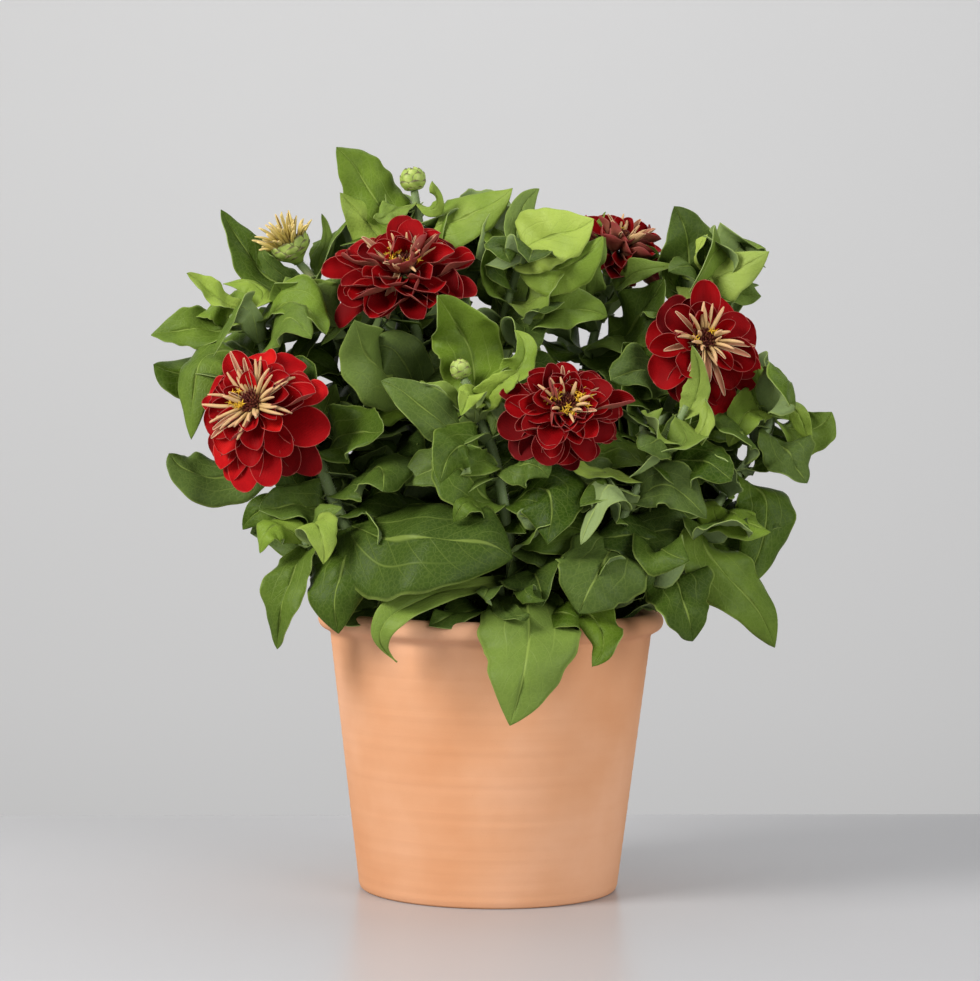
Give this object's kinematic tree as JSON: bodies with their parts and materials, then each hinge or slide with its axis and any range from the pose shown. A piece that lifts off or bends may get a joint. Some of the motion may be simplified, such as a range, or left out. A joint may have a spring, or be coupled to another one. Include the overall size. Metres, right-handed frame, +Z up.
{
  "type": "potted zinnia",
  "caption": "Double red zinnia in flower, a leafy plant with blooms and buds, growing in a flared terracotta pot with a rolled rim.",
  "frame": {"origin": "centre of the pot's base, on the surface it stands on", "axes": "+Z up along the pot's axis, the plant's fuller side with most of the blooms towards -Y"},
  "size_m": [0.3362, 0.219, 0.3691],
  "materials": {
    "clay": "unglazed terracotta, matte, with faint turning lines",
    "potting_mix": "dark crumbly potting mix with bark and fibres",
    "stem": "green hairy stem",
    "leaf": "dull green leaf with pale veins and a thin pale margin",
    "petal": "velvety deep red ray petals with pale edges",
    "disc": "small yellow star florets",
    "quill": "rolled cream to tan inner petals",
    "seed_head": "dry tan tubular florets",
    "bud": "pale green overlapping bracts"
  },
  "bodies": {
    "root": {"pot": "clay", "potting_mix": "potting_mix", "stem_left": "stem", "stem_middle": "stem", "stem_right": "stem", "bloom_1_petals": "petal", "bloom_2_petals": "petal", "bloom_3_petals": "petal", "bloom_4_petals": "petal", "bloom_5_petals": "petal", "bloom_1_disc": "disc", "bloom_2_disc": "disc", "bloom_3_disc": "disc", "bloom_4_disc": "disc", "bloom_5_disc": "disc", "seed_head_florets": "seed_head", "top_bud": "bud", "middle_bud": "bud", "leaf_pair_01": "leaf", "leaf_pair_02": "leaf", "leaf_pair_03": "leaf", "leaf_pair_04": "leaf", "leaf_pair_05": "leaf", "leaf_pair_06": "leaf", "leaf_pair_07": "leaf", "leaf_pair_08": "leaf", "leaf_pair_09": "leaf", "leaf_pair_10": "leaf", "leaf_pair_11": "leaf", "leaf_pair_12": "leaf", "leaf_pair_13": "leaf", "leaf_pair_14": "leaf", "leaf_pair_15": "leaf", "leaf_pair_16": "leaf", "leaf_pair_17": "leaf", "leaf_pair_18": "leaf", "leaf_pair_19": "leaf", "leaf_pair_20": "leaf", "leaf_pair_21": "leaf", "leaf_pair_22": "leaf", "leaf_pair_23": "leaf", "leaf_pair_24": "leaf", "leaf_pair_25": "leaf", "leaf_pair_26": "leaf", "leaf_pair_27": "leaf", "leaf_pair_28": "leaf", "leaf_pair_29": "leaf", "leaf_pair_30": "leaf", "leaf_pair_31": "leaf", "leaf_pair_32": "leaf", "leaf_pair_33": "leaf", "leaf_pair_34": "leaf", "leaf_pair_35": "leaf", "leaf_pair_36": "leaf", "leaf_pair_37": "leaf", "leaf_pair_38": "leaf", "leaf_pair_39": "leaf", "leaf_pair_40": "leaf", "leaf_pair_41": "leaf", "leaf_pair_42": "leaf"}
  },
  "joints": []
}
